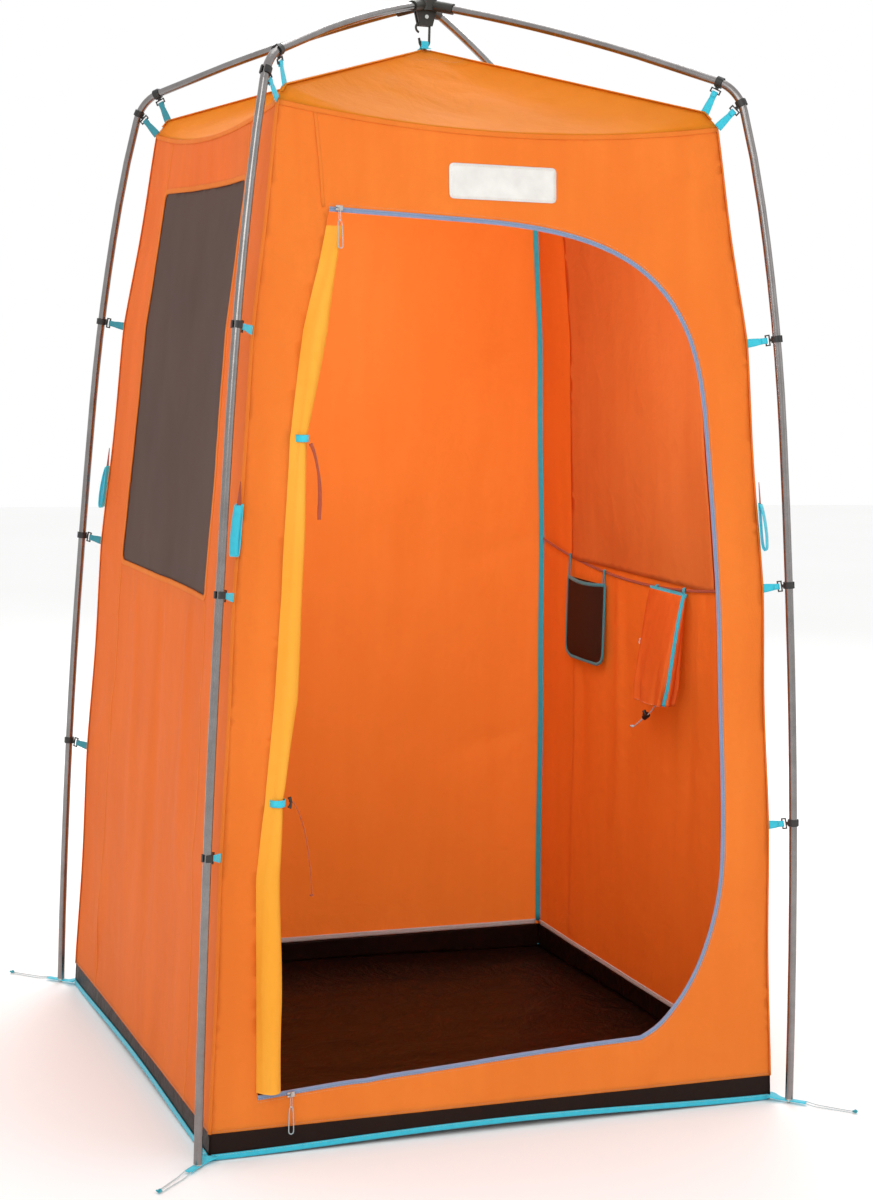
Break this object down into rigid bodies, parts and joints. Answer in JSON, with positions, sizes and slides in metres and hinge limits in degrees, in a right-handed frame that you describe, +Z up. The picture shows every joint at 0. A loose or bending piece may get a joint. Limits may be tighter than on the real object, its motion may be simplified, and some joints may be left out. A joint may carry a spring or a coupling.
{
  "type": "privacy shower tent",
  "caption": "Free-standing square privacy tent on four curved pole legs joined in a hub, with a fabric cabin clipped inside, a rolled-up zip door, mesh windows and inner pockets.",
  "frame": {"origin": "centre of the cabin's base on the ground", "axes": "+Z up, the door faces -Y, the window with the rolled privacy panel faces -X"},
  "size_m": [1.4142, 1.4142, 2.1943],
  "materials": {
    "hub_plastic": "moulded black",
    "bare_metal": "plated",
    "hook_metal": "black coated wire",
    "pole_finish": "grey brown coating, slight sheen",
    "elastic_cord": "braided elastic",
    "black_plastic": "moulded black",
    "button_plastic": "moulded black",
    "webbing": "woven cyan webbing",
    "wall_fabric": "coated orange polyester",
    "roof_fabric": "coated orange polyester, light passes through",
    "floor_fabric": "dark brown coated floor cloth",
    "mesh": "fine dark mesh",
    "pocket_mesh": "dark mesh with bound edge",
    "privacy_fabric": "orange polyester",
    "door_facing": "yellow orange inner face of the rolled door",
    "zip_tape": "grey blue zip tape",
    "pale_cord": "pale braided cord",
    "zip_cord": "grey green braided cord",
    "rust_cord": "rust coloured tape and cord",
    "patch": "pale silver film",
    "bag_fabric": "orange polyester"
  },
  "bodies": {
    "tent": {"hub_body": "hub_plastic", "hub_pin": "bare_metal", "roof_arms": "pole_finish", "shoulder_bends": "pole_finish", "leg_tops": "pole_finish", "leg_uppers": "pole_finish", "leg_lowers": "pole_finish", "leg_feet": "pole_finish", "pole_ferrules": "bare_metal", "shock_cords": "elastic_cord", "foot_tips": "bare_metal", "clips_front_left": "black_plastic", "clips_front_right": "black_plastic", "clips_back_left": "black_plastic", "clips_back_right": "black_plastic", "tabs_front_left": "webbing", "tabs_front_right": "webbing", "tabs_back_left": "webbing", "tabs_back_right": "webbing", "front_wall": "wall_fabric", "left_wall": "wall_fabric", "right_wall": "wall_fabric", "back_wall": "wall_fabric", "roof_canopy": "roof_fabric", "floor_sheet": "floor_fabric", "floor_band": "floor_fabric", "base_binding": "webbing", "left_mesh": "mesh", "right_mesh": "mesh", "left_privacy_roll": "privacy_fabric", "right_privacy_panel": "privacy_fabric", "door_roll": "door_facing", "door_zip_tape": "zip_tape", "door_ties": "webbing", "tie_ribbon": "rust_cord", "tie_cord": "rust_cord", "front_patch": "patch", "gear_line": "rust_cord", "ground_straps": "webbing", "stake_cord_front_left": "pale_cord", "stake_cord_front_right": "pale_cord", "stake_cord_back_left": "pale_cord", "stake_cord_back_right": "pale_cord", "peak_loop": "webbing"},
    "hook": {"hub_hook": "hook_metal"},
    "slider_top": {"slider_top": "bare_metal"},
    "pull_top": {"pull_top": "bare_metal", "pull_cord_top": "zip_cord"},
    "slider_sill": {"slider_sill": "bare_metal"},
    "pull_sill": {"pull_sill": "bare_metal", "pull_cord_sill": "zip_cord"},
    "mesh_pocket": {"mesh_pocket": "pocket_mesh"},
    "bag": {"bag_pocket": "bag_fabric", "bag_cord": "pale_cord"},
    "lock": {"lock_body": "black_plastic"},
    "lock_button": {"lock_button": "button_plastic"},
    "guy_loop_front_left": {"guy_loop_front_left": "webbing"},
    "guy_loop_front_right": {"guy_loop_front_right": "webbing"},
    "guy_loop_back_left": {"guy_loop_back_left": "webbing"},
    "guy_loop_back_right": {"guy_loop_back_right": "webbing"}
  },
  "joints": [
    {"name": "hook_swing", "type": "hinge", "parent": "tent", "child": "hook", "pos_m": [0, 0, 2.15332], "axis": [0, 1, 0], "range_deg": [-15, 15], "deforming": ["peak_loop"]},
    {"name": "top_zip", "type": "slide", "parent": "tent", "child": "slider_top", "axis": [0.9995, -0.0041, -0.0309], "range_m": [0, 0.24]},
    {"name": "top_pull", "type": "hinge", "parent": "slider_top", "child": "pull_top", "pos_m": [-0.33482, -0.47892, 1.73426], "axis": [-1, 0, 0], "range_deg": [0, 150]},
    {"name": "sill_zip", "type": "slide", "parent": "tent", "child": "slider_sill", "axis": [0.9984, 0.0021, 0.0565], "range_m": [0, 0.6]},
    {"name": "sill_pull", "type": "hinge", "parent": "slider_sill", "child": "pull_sill", "pos_m": [-0.42769, -0.58628, 0.11113], "axis": [-1, 0, 0], "range_deg": [0, 150]},
    {"name": "mesh_pocket_swing", "type": "hinge", "parent": "tent", "child": "mesh_pocket", "pos_m": [0.53028, 0.262, 0.99875], "axis": [0, 0.9957, 0.0926], "range_deg": [0, 35]},
    {"name": "bag_swing", "type": "hinge", "parent": "tent", "child": "bag", "pos_m": [0.53128, -0.16, 0.98454], "axis": [0, 1, 0], "range_deg": [0, 35]},
    {"name": "lock_slide", "type": "slide", "parent": "bag", "child": "lock", "axis": [-0.1961, 0.7845, -0.5884], "range_m": [0, 0.025]},
    {"name": "lock_press", "type": "slide", "parent": "lock", "child": "lock_button", "axis": [0.1427, -0.5708, -0.8086], "range_m": [0, 0.003], "stiffness_N_per_m": 500, "springref_m": -0.002},
    {"name": "guy_front_left", "type": "hinge", "parent": "tent", "child": "guy_loop_front_left", "pos_m": [-0.52843, -0.52843, 1.195], "axis": [-0.7071, 0.7071, 0], "range_deg": [0, 15]},
    {"name": "guy_front_right", "type": "hinge", "parent": "tent", "child": "guy_loop_front_right", "pos_m": [0.52843, -0.52843, 1.195], "axis": [-0.7071, -0.7071, 0], "range_deg": [0, 15]},
    {"name": "guy_back_left", "type": "hinge", "parent": "tent", "child": "guy_loop_back_left", "pos_m": [-0.52843, 0.52843, 1.195], "axis": [0.7071, 0.7071, 0], "range_deg": [0, 15]},
    {"name": "guy_back_right", "type": "hinge", "parent": "tent", "child": "guy_loop_back_right", "pos_m": [0.52843, 0.52843, 1.195], "axis": [0.7071, -0.7071, 0], "range_deg": [0, 15]}
  ]
}
